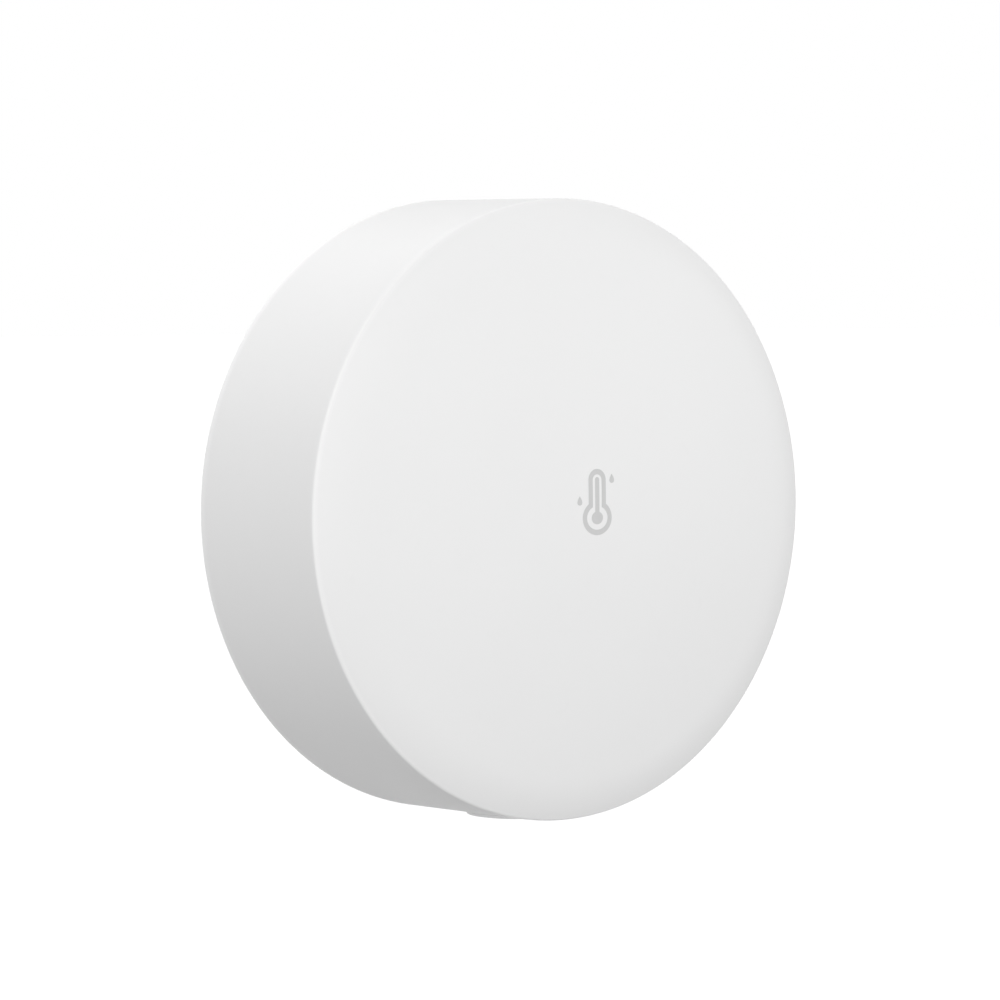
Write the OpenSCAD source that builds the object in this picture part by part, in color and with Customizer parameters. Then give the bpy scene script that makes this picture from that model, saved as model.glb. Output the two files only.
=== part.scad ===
// Round wall-mounted temperature and humidity sensor.
// A domed shell carries the board, the coin cell and the pairing button.
// It twists on to a small base that a foam pad holds to the wall.
// The wall is the plane y = 0, the dome faces -Y and +Z is up.

/* [Puck body] */
// Outside diameter of the puck
body_d = 45; // [44:0.5:60]
// Depth of the straight side wall, from the rear edge to the front rim
wall_depth = 13.45; // [12.5:0.05:18]
// Thickness of the shell
shell_t = 1.8; // [1.4:0.1:2.2]
// Radius of the broad dome on the front
dome_r = 75; // [60:1:120]
// Radius of the shoulder between the dome and the rim
shoulder_r = 11.25; // [9:0.25:13]
// Slope at which the shoulder reaches the rim, in degrees
shoulder_slope = 31; // [28:1:38]
// Radius of the rim's edge
rim_r = 0.3; // [0.2:0.1:0.8]

/* [Mounting base] */
// Width of the base's bare rim, round the foam adhesive pad
base_rim_w = 5.5; // [4.5:0.1:8]
// Thickness of the foam adhesive pad
pad_t = 0.8; // [0.5:0.1:1.5]
// Thickness of the base plate
base_t = 2; // [1.4:0.1:2.4]
// Number of air slots in each of the base's three groups
vent_count = 7; // [3:2:9]
// Width of an air slot
vent_w = 1.2; // [0.8:0.1:1.6]
// Length of an air slot, from end to end
vent_len = 3; // [2:0.1:3.4]
// Angle between neighbouring air slots
vent_step = 7.5; // [7:0.5:9]

/* [Bayonet] */
// Angle that one lug of the base covers
lug_span = 15; // [12:1:17]
// Angle that one ledge of the shell covers
ledge_span = 20; // [16:1:22]
// Thickness of a lug
lug_t = 1; // [0.8:0.1:1.4]
// Thickness of a ledge
ledge_t = 1.65; // [1.2:0.05:2]
// Width of a ledge, inwards from the shell
ledge_w = 1.2; // [0.8:0.1:1.4]
// Thickness of the tab that carries a lug
tab_t = 1.1; // [0.8:0.1:1.4]
// Where the first lug stands, in degrees from the right
lug_place = 6; // [4:1:8]
// Angle that the stop at a ledge's end covers
stop_span = 1.5; // [1:0.1:1.6]
// Step from a ledge's inner face to its stop
stop_step = 0.1; // [0.05:0.05:0.2]

/* [Coin cell] */
// Diameter of the coin cell
cell_d = 24.5; // [20:0.5:24.5]
// Height of the coin cell
cell_h = 5; // [3.2:0.1:5.4]
// Thickness of the cell's sheet steel
cell_sheet = 0.3; // [0.2:0.05:0.4]
// Width of the cell's sealing gasket
cell_seal_w = 0.7; // [0.5:0.1:1]
// How far the cap stands out of the can
cell_cap_proud = 0.5; // [0.3:0.1:0.8]

/* [Inner frame] */
// Wall of the battery well
well_t = 1; // [0.8:0.1:1.4]
// Thickness of the frame's plate
plate_t = 1.2; // [1:0.1:1.6]
// Radius of the screw bosses
boss_r = 2.2; // [2:0.1:2.4]
// Diameter of the frame screws
screw_d = 1.7; // [1.4:0.1:2]
// Length of the frame screws under the head
screw_len = 8; // [7:0.5:8]
// Diameter of the screw heads
screw_head_d = 3; // [2.6:0.1:3.4]
// Height of the screw heads
screw_head_h = 1; // [0.8:0.1:1.2]

/* [Circuit board] */
// Thickness of the circuit board
board_t = 1; // [0.8:0.1:1.2]
// Room between the cell and the board for the contact springs
contact_room = 2.65; // [2:0.05:3]
// Thickness of the contact springs
contact_t = 0.3; // [0.2:0.05:0.4]
// Width of the contact springs
contact_w = 5; // [3:0.5:6]
// Distance of the sensor chip from the board's edge
sensor_edge = 3.2; // [3:0.1:4]
// Direction of the sensor chip from the middle of the board, in degrees
sensor_dir = 302; // [296:1:306]
// Width of the two slots beside the sensor chip
sensor_slot_w = 0.8; // [0.5:0.1:1]
// Distance of the antenna from the board's edge
antenna_edge = 3.5; // [2.5:0.1:4]
// Direction of the antenna from the middle of the board, in degrees
antenna_dir = 118; // [116:1:140]

/* [Parts on the board] */
// Side and height of the temperature and humidity chip
sensor_size = [2.5, 0.9]; // [0.5:0.1:3]
// Size of the radio's shield
shield_size = [14, 11, 1.9]; // [1.5:0.1:15]
// Thickness of the shield's sheet
shield_sheet = 0.2; // [0.15:0.05:0.3]
// Size of the radio chip
radio_size = [5, 5, 0.85]; // [0.5:0.05:6]
// Size of the quartz crystal
crystal_size = [2.5, 2, 0.6]; // [0.4:0.1:3.2]
// Size of the antenna
antenna_size = [7, 2, 1.2]; // [0.8:0.1:8]
// Size of the memory chip
memory_size = [3.9, 4.9, 1.4]; // [0.8:0.1:5]
// Size of one of its legs
memory_leg = [0.4, 0.6, 0.2]; // [0.1:0.05:0.6]
// Size of the status light
led_size = [1.6, 0.8, 0.7]; // [0.4:0.1:2]
// Size of the power converter's coil
inductor_size = [3, 3, 1.1]; // [0.8:0.1:4]
// Size of the block capacitor
tank_size = [3.5, 2.8, 1.9]; // [1:0.1:4]
// Size of a ceramic capacitor
capacitor_size = [1, 0.5, 0.5]; // [0.3:0.05:1.2]
// Size of a resistor
resistor_size = [1, 0.5, 0.35]; // [0.3:0.05:1.2]
// Middle of the shield on the board
shield_place = [0, 4]; // [-2:0.5:5]
// Middle of the memory chip on the board
memory_place = [12, 3]; // [2:0.5:13]
// Middle of the coil on the board
inductor_place = [-12, 1]; // [-13:0.5:3]
// Middle of the block capacitor on the board
tank_place = [-7, -11.5]; // [-12:0.5:-6]
// Middle of the status light on the board
led_place = [0, -13]; // [-15:0.5:1]
// Middle of the capacitors on the board
capacitor_place = [0, -5]; // [-6:0.5:1]
// Step between capacitors, along and across their rows
capacitor_step = [2.5, 2]; // [1.5:0.1:3]
// Middle of the resistors on the board
resistor_place = [8.5, -5]; // [-6:0.5:9]
// Step between resistors, across and along their rows
resistor_step = [2, 1.8]; // [1:0.1:3]

/* [Button and switch] */
// Diameter of the button's cap
button_d = 7; // [5:0.1:7.4]
// How far the cap stands out of the wall
button_proud = 0.3; // [0.1:0.05:0.5]
// Travel of the button
button_travel = 0.25; // [0.15:0.05:0.3]
// Radius of the cap's domed end
button_dome_r = 18; // [10:1:40]
// Width of the flange that keeps the button in, past the cap
button_flange_w = 0.6; // [0.4:0.1:0.8]
// Thickness of that flange
button_flange_t = 0.8; // [0.6:0.1:1]
// Diameter of the button's stem
stem_d = 2.6; // [2:0.1:3]
// Length of the button's stem
stem_len = 0.6; // [0.5:0.1:1]
// Width of the switch
switch_w = 4.5; // [4:0.1:5]
// Depth of the switch, along its plunger
switch_depth = 3; // [2.6:0.1:3.6]
// Height of the plunger's axis over the board
switch_axis_h = 2.2; // [1.5:0.05:2.4]
// Thickness of the switch's steel cover
switch_sheet = 0.15; // [0.1:0.05:0.2]
// Diameter of the plunger
plunger_d = 1.5; // [1.2:0.1:1.8]
// How far the plunger stands out of the switch
plunger_len = 0.6; // [0.5:0.1:1]

/* [Clearances] */
// Round the base, inside the shell
base_clear = 0.2; // [0.1:0.05:0.3]
// Between a lug and what it turns past, sideways
lug_clear = 0.2; // [0.15:0.05:0.3]
// Between a lug and its ledge, front to back
lug_play = 0.15; // [0.1:0.05:0.25]
// Between the lugs and the frame
frame_gap = 0.45; // [0.3:0.05:0.8]
// Between the base and the cell
cell_gap = 0.4; // [0.3:0.05:0.8]
// Round the cell, inside its well
cell_clear = 0.25; // [0.15:0.05:0.4]
// Round the board and the frame, inside the ledges
board_clear = 0.3; // [0.2:0.05:0.5]
// Round a screw, in its boss
screw_clear = 0.2; // [0.1:0.05:0.3]
// Round a screw's thread, in its post
thread_clear = 0.02; // [0.01:0.01:0.04]
// Round the button, in its hole
button_clear = 0.15; // [0.1:0.05:0.25]
// Round the plunger, in the switch
plunger_clear = 0.05; // [0.03:0.01:0.1]
// Between the button's stem and the plunger
press_gap = 0.05; // [0.03:0.01:0.1]
// Between a contact spring or the frame and the cell that it holds
seat_gap = 0.05; // [0.02:0.01:0.1]

/* [Hidden] */
$fn = 96;

// Small overlap that joins features of one piece
join = 0.2;
// Length that cuts right through anything here
through = 100;

// Places from the wall forwards
z_back = pad_t;
z_base = z_back + base_t;
z_ledge = z_base + lug_play;
z_lug = z_ledge + ledge_t + lug_play;
z_plate = z_lug + lug_t + frame_gap;
z_cell = z_base + cell_gap;
z_cell_front = z_cell + cell_h;
z_can_front = z_cell_front - cell_cap_proud;
z_board = z_cell_front + contact_room;
z_board_front = z_board + board_t;
z_button = z_board - switch_axis_h;
z_rim = z_back + wall_depth;
// How far a screw goes into its post
screw_reach = screw_len - (z_board_front - z_plate);

// Places from the middle outwards
body_r = body_d / 2;
shell_ir = body_r - shell_t;
base_r = shell_ir - base_clear;
ledge_ir = shell_ir - ledge_w;
tab_or = ledge_ir - lug_clear;
tab_ir = tab_or - tab_t;
lug_or = shell_ir - lug_clear;
board_r = ledge_ir - board_clear;
cell_r = cell_d / 2;
cap_r = cell_r - cell_sheet - cell_seal_w;
well_ir = cell_r + cell_clear;
well_or = well_ir + well_t;
screw_place_r = well_or + boss_r - join;
pad_r = base_r - base_rim_w;
vent_place_r = base_r - base_rim_w / 2;
sensor_place_r = board_r - sensor_edge;
antenna_place_r = board_r - antenna_edge;

// Directions of what stands three times round the middle
third = 360 / 3;
screw_angles = [for (i = [0 : 2]) 90 + i * third];
lug_angles = [for (i = [0 : 2]) lug_place + i * third];
vent_angles = [for (i = [0 : 2]) lug_place + (i + 1 / 2) * third];

// Where the dome, the shoulder and the rim pass into each other
rim_c = [body_r - rim_r, z_rim];
shoulder_end = rim_c + rim_r * [sin(shoulder_slope), cos(shoulder_slope)];
shoulder_c = shoulder_end - shoulder_r * [sin(shoulder_slope), cos(shoulder_slope)];
dome_slope = asin(shoulder_c[0] / (dome_r - shoulder_r));
dome_c = [0, shoulder_c[1] - (dome_r - shoulder_r) * cos(dome_slope)];
// Angle by which the shoulder's arc runs on under the dome
dome_overlap = 20;

// The button's parts, outwards from the middle
button_r = button_d / 2;
flange_r = button_r + button_flange_w;
flange_or = sqrt(pow(shell_ir, 2) - pow(flange_r, 2)) - button_clear;
flange_ir = flange_or - button_flange_t;
stem_ir = flange_ir - stem_len;
plunger_or = stem_ir - press_gap;
switch_or = plunger_or - plunger_len;
switch_ir = switch_or - switch_depth;
plunger_ir = switch_or - switch_depth / 3;
switch_h = 2 * switch_axis_h;

// Open sector of the frame, for the switch and the sensor
bay_from = 248;
bay_to = 318;

// Where the frame leaves room for the positive contact
positive_a = 180;

// Turns the wall's own axes to the part's: right, up and forwards
module on_axis() {
    rotate([90, 0, 0])
        children();
}

// Puts a shape on the button's axis, with its own z pointing outwards
module on_button() {
    translate([0, 0, z_button])
        rotate([90, 0, 0])
            children();
}

// Puts a shape at a distance and direction from the middle
module polar(r, a) {
    rotate([0, 0, a])
        translate([r, 0, 0])
            children();
}

// Puts a shape on the front of the board
module on_board_front(place) {
    translate([place[0], place[1], z_board_front])
        children();
}

// A chip's body, standing on z = 0
module block(size) {
    translate([-size[0] / 2, -size[1] / 2, 0])
        cube(size);
}

// Part of a ring, centred on one direction
module ring_part(r_in, r_out, z0, z1, a, span) {
    rotate([0, 0, a - span / 2])
        rotate_extrude(angle = span)
            translate([r_in, z0])
                square([r_out - r_in, z1 - z0]);
}

// Outline of a slot with round ends, along x
module round_slot(length, width) {
    straight = length - width;
    square([straight, width], center = true);
    for (end = [-1, 1])
        translate([end * straight / 2, 0])
            circle(width / 2);
}

// A ring with square edges
module ring(r_in, r_out, z0, z1) {
    rotate_extrude()
        translate([r_in, z0])
            square([r_out - r_in, z1 - z0]);
}

// Slice of a circle round a centre, between two slopes from the forward direction
module arc_slice(c, r, slope0, slope1) {
    reach = 2 * r;
    translate(c)
        intersection() {
            circle(r);
            polygon([
                [0, 0],
                reach * [sin(slope0), cos(slope0)],
                reach * [sin(slope1), cos(slope1)],
            ]);
        }
}

// The puck's full outside: the dome, and a drum with the shoulder, the rim edge and the straight wall
module outside() {
    rotate_extrude()
        intersection() {
            arc_slice(dome_c, dome_r, 0, dome_slope);
            translate([0, z_back])
                square([body_r, through]);
        }
    rotate_extrude() {
        arc_slice(shoulder_c, shoulder_r, dome_slope - dome_overlap, shoulder_slope);
        arc_slice(rim_c, rim_r, shoulder_slope, 90);
        polygon([[0, z_back], [body_r, z_back], [body_r, z_rim], rim_c, [0, z_rim - shell_t]]);
    }
}

// Hollow of the shell
module shell_hollow(grow) {
    intersection() {
        translate([0, 0, z_back - join])
            cylinder(h = through, r = shell_ir + grow);
        translate([0, 0, dome_c[1]])
            sphere(dome_r - shell_t + grow);
    }
}

// Domed shell with the bayonet ledges, the screw posts and the button's hole
module front_shell() {
    color("white")
        on_axis()
            difference() {
                union() {
                    difference() {
                        outside();
                        shell_hollow(0);
                    }
                    shell_ledges();
                    intersection() {
                        shell_posts();
                        shell_hollow(shell_t / 3);
                    }
                }
                on_button()
                    translate([0, 0, flange_or])
                        cylinder(h = through, r = button_r + button_clear);
                for (a = screw_angles)
                    polar(screw_place_r, a)
                        translate([0, 0, z_board_front - join])
                            cylinder(h = screw_reach + 2 * join, r = screw_d / 2 + thread_clear);
            }
}

// Ledges that hold the base's lugs, each with a stop on it near one end
module shell_ledges() {
    for (a = lug_angles) {
        ring_part(ledge_ir, shell_ir + join, z_ledge, z_ledge + ledge_t, a, ledge_span);
        ring_part(ledge_ir + stop_step, shell_ir + join / 2, z_ledge + ledge_t - join, z_lug + lug_t,
            a + ledge_span / 2 - stop_span * 3 / 4, stop_span);
    }
}

// Posts that the board stands on
module shell_posts() {
    for (a = screw_angles)
        polar(screw_place_r, a)
            translate([0, 0, z_board_front])
                cylinder(h = through, r = boss_r);
}

// Frame that clamps the board, with the battery well and the screw bosses
module inner_frame() {
    color("gainsboro")
        on_axis()
            difference() {
                union() {
                    ring(well_ir, well_or, z_cell + cell_gap, z_board - board_clear);
                    ring(cell_r - 2 * cell_sheet - cell_seal_w / 2, well_ir + well_t / 2,
                        z_can_front + seat_gap, z_can_front + seat_gap + well_t);
                    ring_part(well_or - well_t / 2, board_r, z_plate, z_plate + plate_t,
                        (bay_from + bay_to) / 2 + 180, 360 - (bay_to - bay_from));
                    for (a = screw_angles)
                        polar(screw_place_r, a)
                            translate([0, 0, z_plate + plate_t - join])
                                cylinder(h = z_board - z_plate - plate_t + join, r = boss_r);
                }
                for (a = screw_angles)
                    polar(screw_place_r, a)
                        cylinder(h = through, r = screw_d / 2 + screw_clear);
                polar(cell_r, positive_a)
                    translate([0, -contact_w / 2 - cell_clear, 0])
                        cube([well_t + 2 * cell_clear, contact_w + 2 * cell_clear, through]);
                polar(sensor_place_r, sensor_dir)
                    block([sensor_size[0] + 2 * board_clear, sensor_size[0] + 2 * board_clear, through]);
                switch_room();
            }
}

// Room that the frame leaves round the switch
module switch_room() {
    half = switch_w / 2 + switch_sheet + board_clear;
    translate([-half, -through - switch_ir + board_clear, 0])
        cube([2 * half, through, through]);
}

// Three pan-head screws through the frame and the board, into the shell's posts
module frame_screws() {
    color("silver")
        on_axis()
            for (a = screw_angles)
                polar(screw_place_r, a) {
                    difference() {
                        translate([0, 0, z_plate - screw_head_h])
                            cylinder(h = screw_head_h, r = screw_head_d / 2);
                        translate([0, 0, z_plate - screw_head_h - join])
                            screw_cross();
                    }
                    translate([0, 0, z_plate - join])
                        cylinder(h = screw_len + join, r = screw_d / 2);
                }
}

// Cross recess of a screw head
module screw_cross() {
    arm = [0.6 * screw_head_d, 0.15 * screw_head_d, 0.5 * screw_head_h + join];
    block(arm);
    rotate([0, 0, 90])
        block(arm);
}

// Plate that stays on the wall, with the air slots and the bayonet lugs
module mounting_base() {
    color("whitesmoke")
        on_axis() {
            difference() {
                translate([0, 0, z_back])
                    cylinder(h = base_t, r = base_r);
                for (a = vent_angles, i = [0 : vent_count - 1])
                    polar(vent_place_r, a + (i - (vent_count - 1) / 2) * vent_step)
                        air_slot();
            }
            for (a = lug_angles)
                rotate([0, 0, a - lug_span / 2])
                    base_lug();
        }
}

// Tab on the base with a lug that points outwards
module base_lug() {
    rotate_extrude(angle = lug_span)
        polygon([
            [tab_ir, z_base - join], [tab_or, z_base - join], [tab_or, z_lug],
            [lug_or, z_lug], [lug_or, z_lug + lug_t], [tab_ir, z_lug + lug_t],
        ]);
}

// Air slot through the base, along the radius
module air_slot() {
    translate([0, 0, z_back - join])
        linear_extrude(base_t + 2 * join)
            round_slot(vent_len, vent_w);
}

// Foam pad between the base and the wall
module adhesive_pad() {
    color("lightgray")
        on_axis()
            cylinder(h = pad_t, r = pad_r);
}

// Steel can of the cell, crimped in over the gasket
module cell_can() {
    t = cell_sheet;
    color("silver")
        on_axis()
            rotate_extrude()
                polygon([
                    [0, z_cell], [cell_r - t, z_cell], [cell_r, z_cell + t],
                    [cell_r, z_can_front - t], [cell_r - t, z_can_front],
                    [cell_r - 2 * t, z_can_front], [cell_r - 2 * t, z_can_front - t],
                    [cell_r - t, z_can_front - 2 * t], [cell_r - t, z_cell + t],
                    [0, z_cell + t],
                ]);
}

// Plastic gasket between the can and the cap
module cell_gasket() {
    color("dimgray")
        on_axis()
            ring(cap_r, cell_r - 2 * cell_sheet, z_cell + cell_sheet, z_can_front);
}

// Steel cap, the cell's negative face
module cell_cap() {
    color("lightsteelblue")
        on_axis()
            rotate_extrude()
                polygon([
                    [0, z_cell_front], [cap_r - 2 * cell_sheet, z_cell_front], [cap_r, z_can_front],
                    [cap_r, z_cell + 2 * cell_sheet], [cap_r - cell_sheet, z_cell + 2 * cell_sheet],
                    [cap_r - cell_sheet, z_can_front - cell_sheet],
                    [cap_r - 3 * cell_sheet, z_cell_front - cell_sheet], [0, z_cell_front - cell_sheet],
                ]);
}

// Electrodes and separator inside the cell, as one pellet
module cell_electrodes() {
    color("darkslategray")
        on_axis()
            translate([0, 0, z_cell + cell_sheet])
                cylinder(h = z_can_front - z_cell - 2 * cell_sheet, r = cap_r - cell_sheet);
}

// Spring leaf on the side of the can, with its foot on the board
module positive_contact() {
    leaf_from = z_cell + cell_h / 4;
    color("goldenrod")
        on_axis()
            rotate([0, 0, positive_a])
                translate([cell_r + seat_gap, -contact_w / 2, 0]) {
                    translate([0, 0, leaf_from])
                        cube([contact_t, contact_w, z_board - leaf_from]);
                    translate([0, 0, z_board - contact_t])
                        cube([3 * well_t, contact_w, contact_t]);
                }
}

// Spring with three bent arms on the cell's cap, soldered to the board
module negative_contact() {
    hub_r = contact_w / 2;
    toe = contact_w / 4;
    reach = cell_r / 2;
    z_toe = z_cell_front + seat_gap;
    color("gold")
        on_axis() {
            translate([0, 0, z_board - contact_t])
                cylinder(h = contact_t, r = hub_r);
            for (i = [0 : 2])
                rotate([90, 0, 30 + i * third])
                    linear_extrude(contact_w / 3, center = true)
                        polygon([
                            [0, z_board], [hub_r, z_board],
                            [reach, z_toe + contact_t], [reach + toe, z_toe + contact_t],
                            [reach + toe, z_toe], [reach, z_toe],
                            [hub_r, z_board - contact_t], [0, z_board - contact_t],
                        ]);
        }
}

// Round circuit board with its screw holes, the button's notch and the sensor's thermal slots
module main_board() {
    color("darkgreen")
        on_axis()
            difference() {
                translate([0, 0, z_board])
                    cylinder(h = board_t, r = board_r);
                for (a = screw_angles)
                    polar(screw_place_r, a)
                        cylinder(h = through, r = screw_d / 2 + screw_clear);
                translate([-flange_r - board_clear, -through - flange_ir + button_travel + board_clear, 0])
                    cube([2 * (flange_r + board_clear), through, through]);
                polar(sensor_place_r, sensor_dir)
                    sensor_slots();
            }
}

// Two slots that keep the board's heat from the sensor
module sensor_slots() {
    half = sensor_size[0] / 2 + sensor_slot_w;
    for (side = [-1, 1])
        translate([0, side * half, z_board - join])
            linear_extrude(board_t + 2 * join)
                round_slot(2 * half + sensor_slot_w, sensor_slot_w);
}

// Radio and processor chip under the shield
module radio_chip() {
    color("black")
        on_axis()
            on_board_front(shield_place - [shield_size[0] / 6, 0])
                block(radio_size);
}

// Sheet-metal shield over the radio
module radio_shield() {
    color("silver")
        on_axis()
            on_board_front(shield_place)
                difference() {
                    block(shield_size);
                    translate([0, 0, -join])
                        block(shield_size - [2 * shield_sheet, 2 * shield_sheet, shield_sheet - join]);
                }
}

// Quartz crystal beside the radio chip
module radio_crystal() {
    color("gainsboro")
        on_axis()
            on_board_front(shield_place + [shield_size[0] / 3, shield_size[1] / 5])
                block(crystal_size);
}

// Ceramic antenna near the top edge of the board
module chip_antenna() {
    color("khaki")
        on_axis()
            polar(antenna_place_r, antenna_dir)
                on_board_front([0, 0])
                    rotate([0, 0, 90])
                        block(antenna_size);
}

// Memory chip with four legs on each side
module memory_chip() {
    leg_step = memory_size[0] / 4;
    color("black")
        on_axis()
            on_board_front(memory_place) {
                block(memory_size);
                for (i = [-1.5 : 1.5], side = [-1, 1])
                    translate([i * leg_step, side * memory_size[1] / 2, 0])
                        block([memory_leg[0], 2 * memory_leg[1], memory_leg[2]]);
            }
}

// Temperature and humidity chip with its port, on the rear of the board
module sensor_chip() {
    color("dimgray")
        on_axis()
            polar(sensor_place_r, sensor_dir)
                translate([0, 0, z_board - sensor_size[1]])
                    difference() {
                        block([sensor_size[0], sensor_size[0], sensor_size[1]]);
                        translate([0, 0, -sensor_size[1] / 2])
                            cylinder(h = sensor_size[1], r = sensor_size[0] / 5);
                    }
}

// Status light that shines through the shell: a foot and a clear body
module status_led() {
    color("lightyellow")
        on_axis()
            on_board_front(led_place) {
                block([led_size[0], led_size[1], led_size[2] / 2]);
                block([led_size[0] * 2 / 3, led_size[1], led_size[2]]);
            }
}

// Coil of the power converter, with its round core on top
module power_inductor() {
    color("gray")
        on_axis()
            on_board_front(inductor_place) {
                block(inductor_size);
                cylinder(h = inductor_size[2] + join, r = inductor_size[0] * 2 / 5);
            }
}

// Block capacitor that carries the radio's short bursts
module tank_capacitor() {
    color("orange")
        on_axis()
            on_board_front(tank_place)
                block(tank_size);
}

// Two rows of small ceramic capacitors
module ceramic_capacitors() {
    color("burlywood")
        on_axis()
            for (row = [-0.5, 0.5], i = [-2 : 2])
                on_board_front(capacitor_place + [i * capacitor_step[0], row * capacitor_step[1]])
                    block(capacitor_size);
}

// Two rows of small resistors
module chip_resistors() {
    color("black")
        on_axis()
            for (row = [-0.5, 0.5], i = [-1.5 : 1.5])
                on_board_front(resistor_place + [row * resistor_step[0], i * resistor_step[1]])
                    block(resistor_size);
}

// Side-press switch under the button, on the rear of the board
module switch_body() {
    color("black")
        on_axis()
            on_button()
                difference() {
                    translate([-switch_w / 2, -switch_h / 2, switch_ir])
                        cube([switch_w, switch_h, switch_depth]);
                    translate([0, 0, plunger_ir - button_travel - join])
                        cylinder(h = through, r = plunger_d / 2 + plunger_clear);
                }
}

// Steel cover over three sides of the switch
module switch_cover() {
    color("silver")
        on_axis()
            on_button()
                difference() {
                    translate([-switch_w / 2 - switch_sheet, -switch_h / 2 - switch_sheet, switch_ir])
                        cube([switch_w + 2 * switch_sheet, switch_h + switch_sheet, switch_depth]);
                    translate([-switch_w / 2, -switch_h / 2, switch_ir - join])
                        cube([switch_w, switch_h + join, switch_depth + 2 * join]);
                }
}

// Plunger of the switch
module switch_plunger() {
    color("white")
        on_axis()
            on_button()
                translate([0, 0, plunger_ir])
                    cylinder(h = plunger_or - plunger_ir, r = plunger_d / 2);
}

// Pairing button: domed cap, flange behind the wall and stem
module button_cap() {
    cap_end = body_r + button_proud;
    color("white")
        on_axis()
            on_button() {
                intersection() {
                    translate([0, 0, flange_ir])
                        cylinder(h = cap_end - flange_ir, r = button_r);
                    translate([0, 0, cap_end - button_dome_r])
                        sphere(button_dome_r);
                }
                translate([0, 0, flange_ir])
                    cylinder(h = button_flange_t, r = flange_r);
                translate([0, 0, stem_ir])
                    cylinder(h = stem_len + join, r = stem_d / 2);
            }
}

front_shell();
inner_frame();
frame_screws();
mounting_base();
adhesive_pad();
cell_can();
cell_gasket();
cell_cap();
cell_electrodes();
positive_contact();
negative_contact();
main_board();
radio_chip();
radio_shield();
radio_crystal();
chip_antenna();
memory_chip();
sensor_chip();
status_led();
power_inductor();
tank_capacitor();
ceramic_capacitors();
chip_resistors();
switch_body();
switch_cover();
switch_plunger();
button_cap();
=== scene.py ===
"""Looks of a round wall-mounted temperature and humidity sensor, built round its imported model.

Lengths are in metres. The wall is the plane y = 0, the dome faces -Y and +Z is up. A place is often
given as a radius from the puck's axis and a distance forwards from the wall, which is -y.
"""
from math import asin, cos, pi, radians, sin, tau

import bmesh
import bpy
import numpy as np
from bpy.props import FloatProperty, FloatVectorProperty, PointerProperty
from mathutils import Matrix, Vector


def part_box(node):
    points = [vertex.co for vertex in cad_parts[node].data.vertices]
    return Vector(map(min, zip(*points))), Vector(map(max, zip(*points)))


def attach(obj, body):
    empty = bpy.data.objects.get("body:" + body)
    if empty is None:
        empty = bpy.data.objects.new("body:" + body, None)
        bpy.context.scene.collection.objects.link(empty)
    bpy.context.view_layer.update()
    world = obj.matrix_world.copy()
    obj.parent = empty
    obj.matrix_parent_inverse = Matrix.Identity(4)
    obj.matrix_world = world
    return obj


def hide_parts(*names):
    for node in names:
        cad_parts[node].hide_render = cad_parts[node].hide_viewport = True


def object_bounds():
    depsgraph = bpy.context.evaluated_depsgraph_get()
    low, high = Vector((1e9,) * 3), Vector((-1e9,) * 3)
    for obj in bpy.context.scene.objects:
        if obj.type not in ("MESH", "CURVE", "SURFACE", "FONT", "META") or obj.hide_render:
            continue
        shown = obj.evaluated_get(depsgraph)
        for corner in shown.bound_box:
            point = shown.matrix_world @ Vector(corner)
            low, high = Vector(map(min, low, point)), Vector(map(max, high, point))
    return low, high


bl_info = {
    "name": "Temperature and humidity sensor",
    "version": (1, 0, 0),
    "blender": (4, 5, 0),
    "location": "3D View > Sidebar > Sensor",
    "description": "Builds the looks of a round wall sensor on its packed model",
    "category": "Object",
}

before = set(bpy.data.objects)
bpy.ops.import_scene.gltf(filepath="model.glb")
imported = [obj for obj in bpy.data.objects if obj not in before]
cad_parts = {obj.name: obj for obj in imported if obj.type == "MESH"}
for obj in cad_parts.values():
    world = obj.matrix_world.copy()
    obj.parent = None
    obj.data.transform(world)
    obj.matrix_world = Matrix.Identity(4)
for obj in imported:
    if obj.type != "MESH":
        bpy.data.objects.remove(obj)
CAD_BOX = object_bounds()

MM = 0.001
SHELL_LOW, SHELL_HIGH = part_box("front_shell")
CAP_LOW, CAP_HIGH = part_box("button_cap")
BODY_R = (SHELL_HIGH.x - SHELL_LOW.x) / 2
BACK = -SHELL_HIGH.y
PAD_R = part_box("adhesive_pad")[1].x
BUTTON_END = -CAP_LOW.z
BUTTON_FORWARD = -(CAP_LOW.y + CAP_HIGH.y) / 2

AXIS_X = np.array([1.0, 0.0, 0.0])
AXIS_Y = np.array([0.0, 1.0, 0.0])
AXIS_Z = np.array([0.0, 0.0, 1.0])
MIDDLE = np.zeros(3)

# Points closer than this are one point
WELD = 1e-7
# Edges sharper than this stay crisp
CRISP = radians(38)
# How far a joined shape reaches into the one that carries it
SINK = 0.2 * MM
# Ledges, posts, lugs and marks stand in threes
THIRD = tau / 3
# Rows of points on the shell's arcs and on its straight walls, and columns round it
DOME_ROWS, SHOULDER_ROWS, BEND_ROWS, EDGE_ROWS, INSIDE_ROWS = 44, 16, 9, 6, 30
RIM_ROWS, WINDOW_ROWS, BACK_ROWS, HOLE_ROWS = 5, 20, 6, 8
SHELL_COLUMNS = 288
# Rows on the base's plate inside its slots and beside them, columns round it and for each slot
PLATE_ROWS, SLOT_ROWS, BASE_COLUMNS, SLOT_COLUMNS = 14, 10, 480, 10
# Middles of the drops from the print's middle, in body radii, and how slender their points are
DROPS = ((-0.0715, 0.0055), (0.061, 0.0745))
DROP_TAPER = 1.3
# Share of an arrow that is its shaft
ARROW_SHAFT = 0.62
# Size of a bump in fine grain and in coarse grain
FINE, COARSE = 0.02 * MM, 0.03 * MM
# Each light's direction in degrees, azimuth and elevation, and its width as a share of the softness
LIGHTS = {"key": (320, 30, 1 / 2), "side": (320, 0, 1 / 2), "fill": (60, 5, 2 / 3), "back": (180, 40, 1)}
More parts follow.
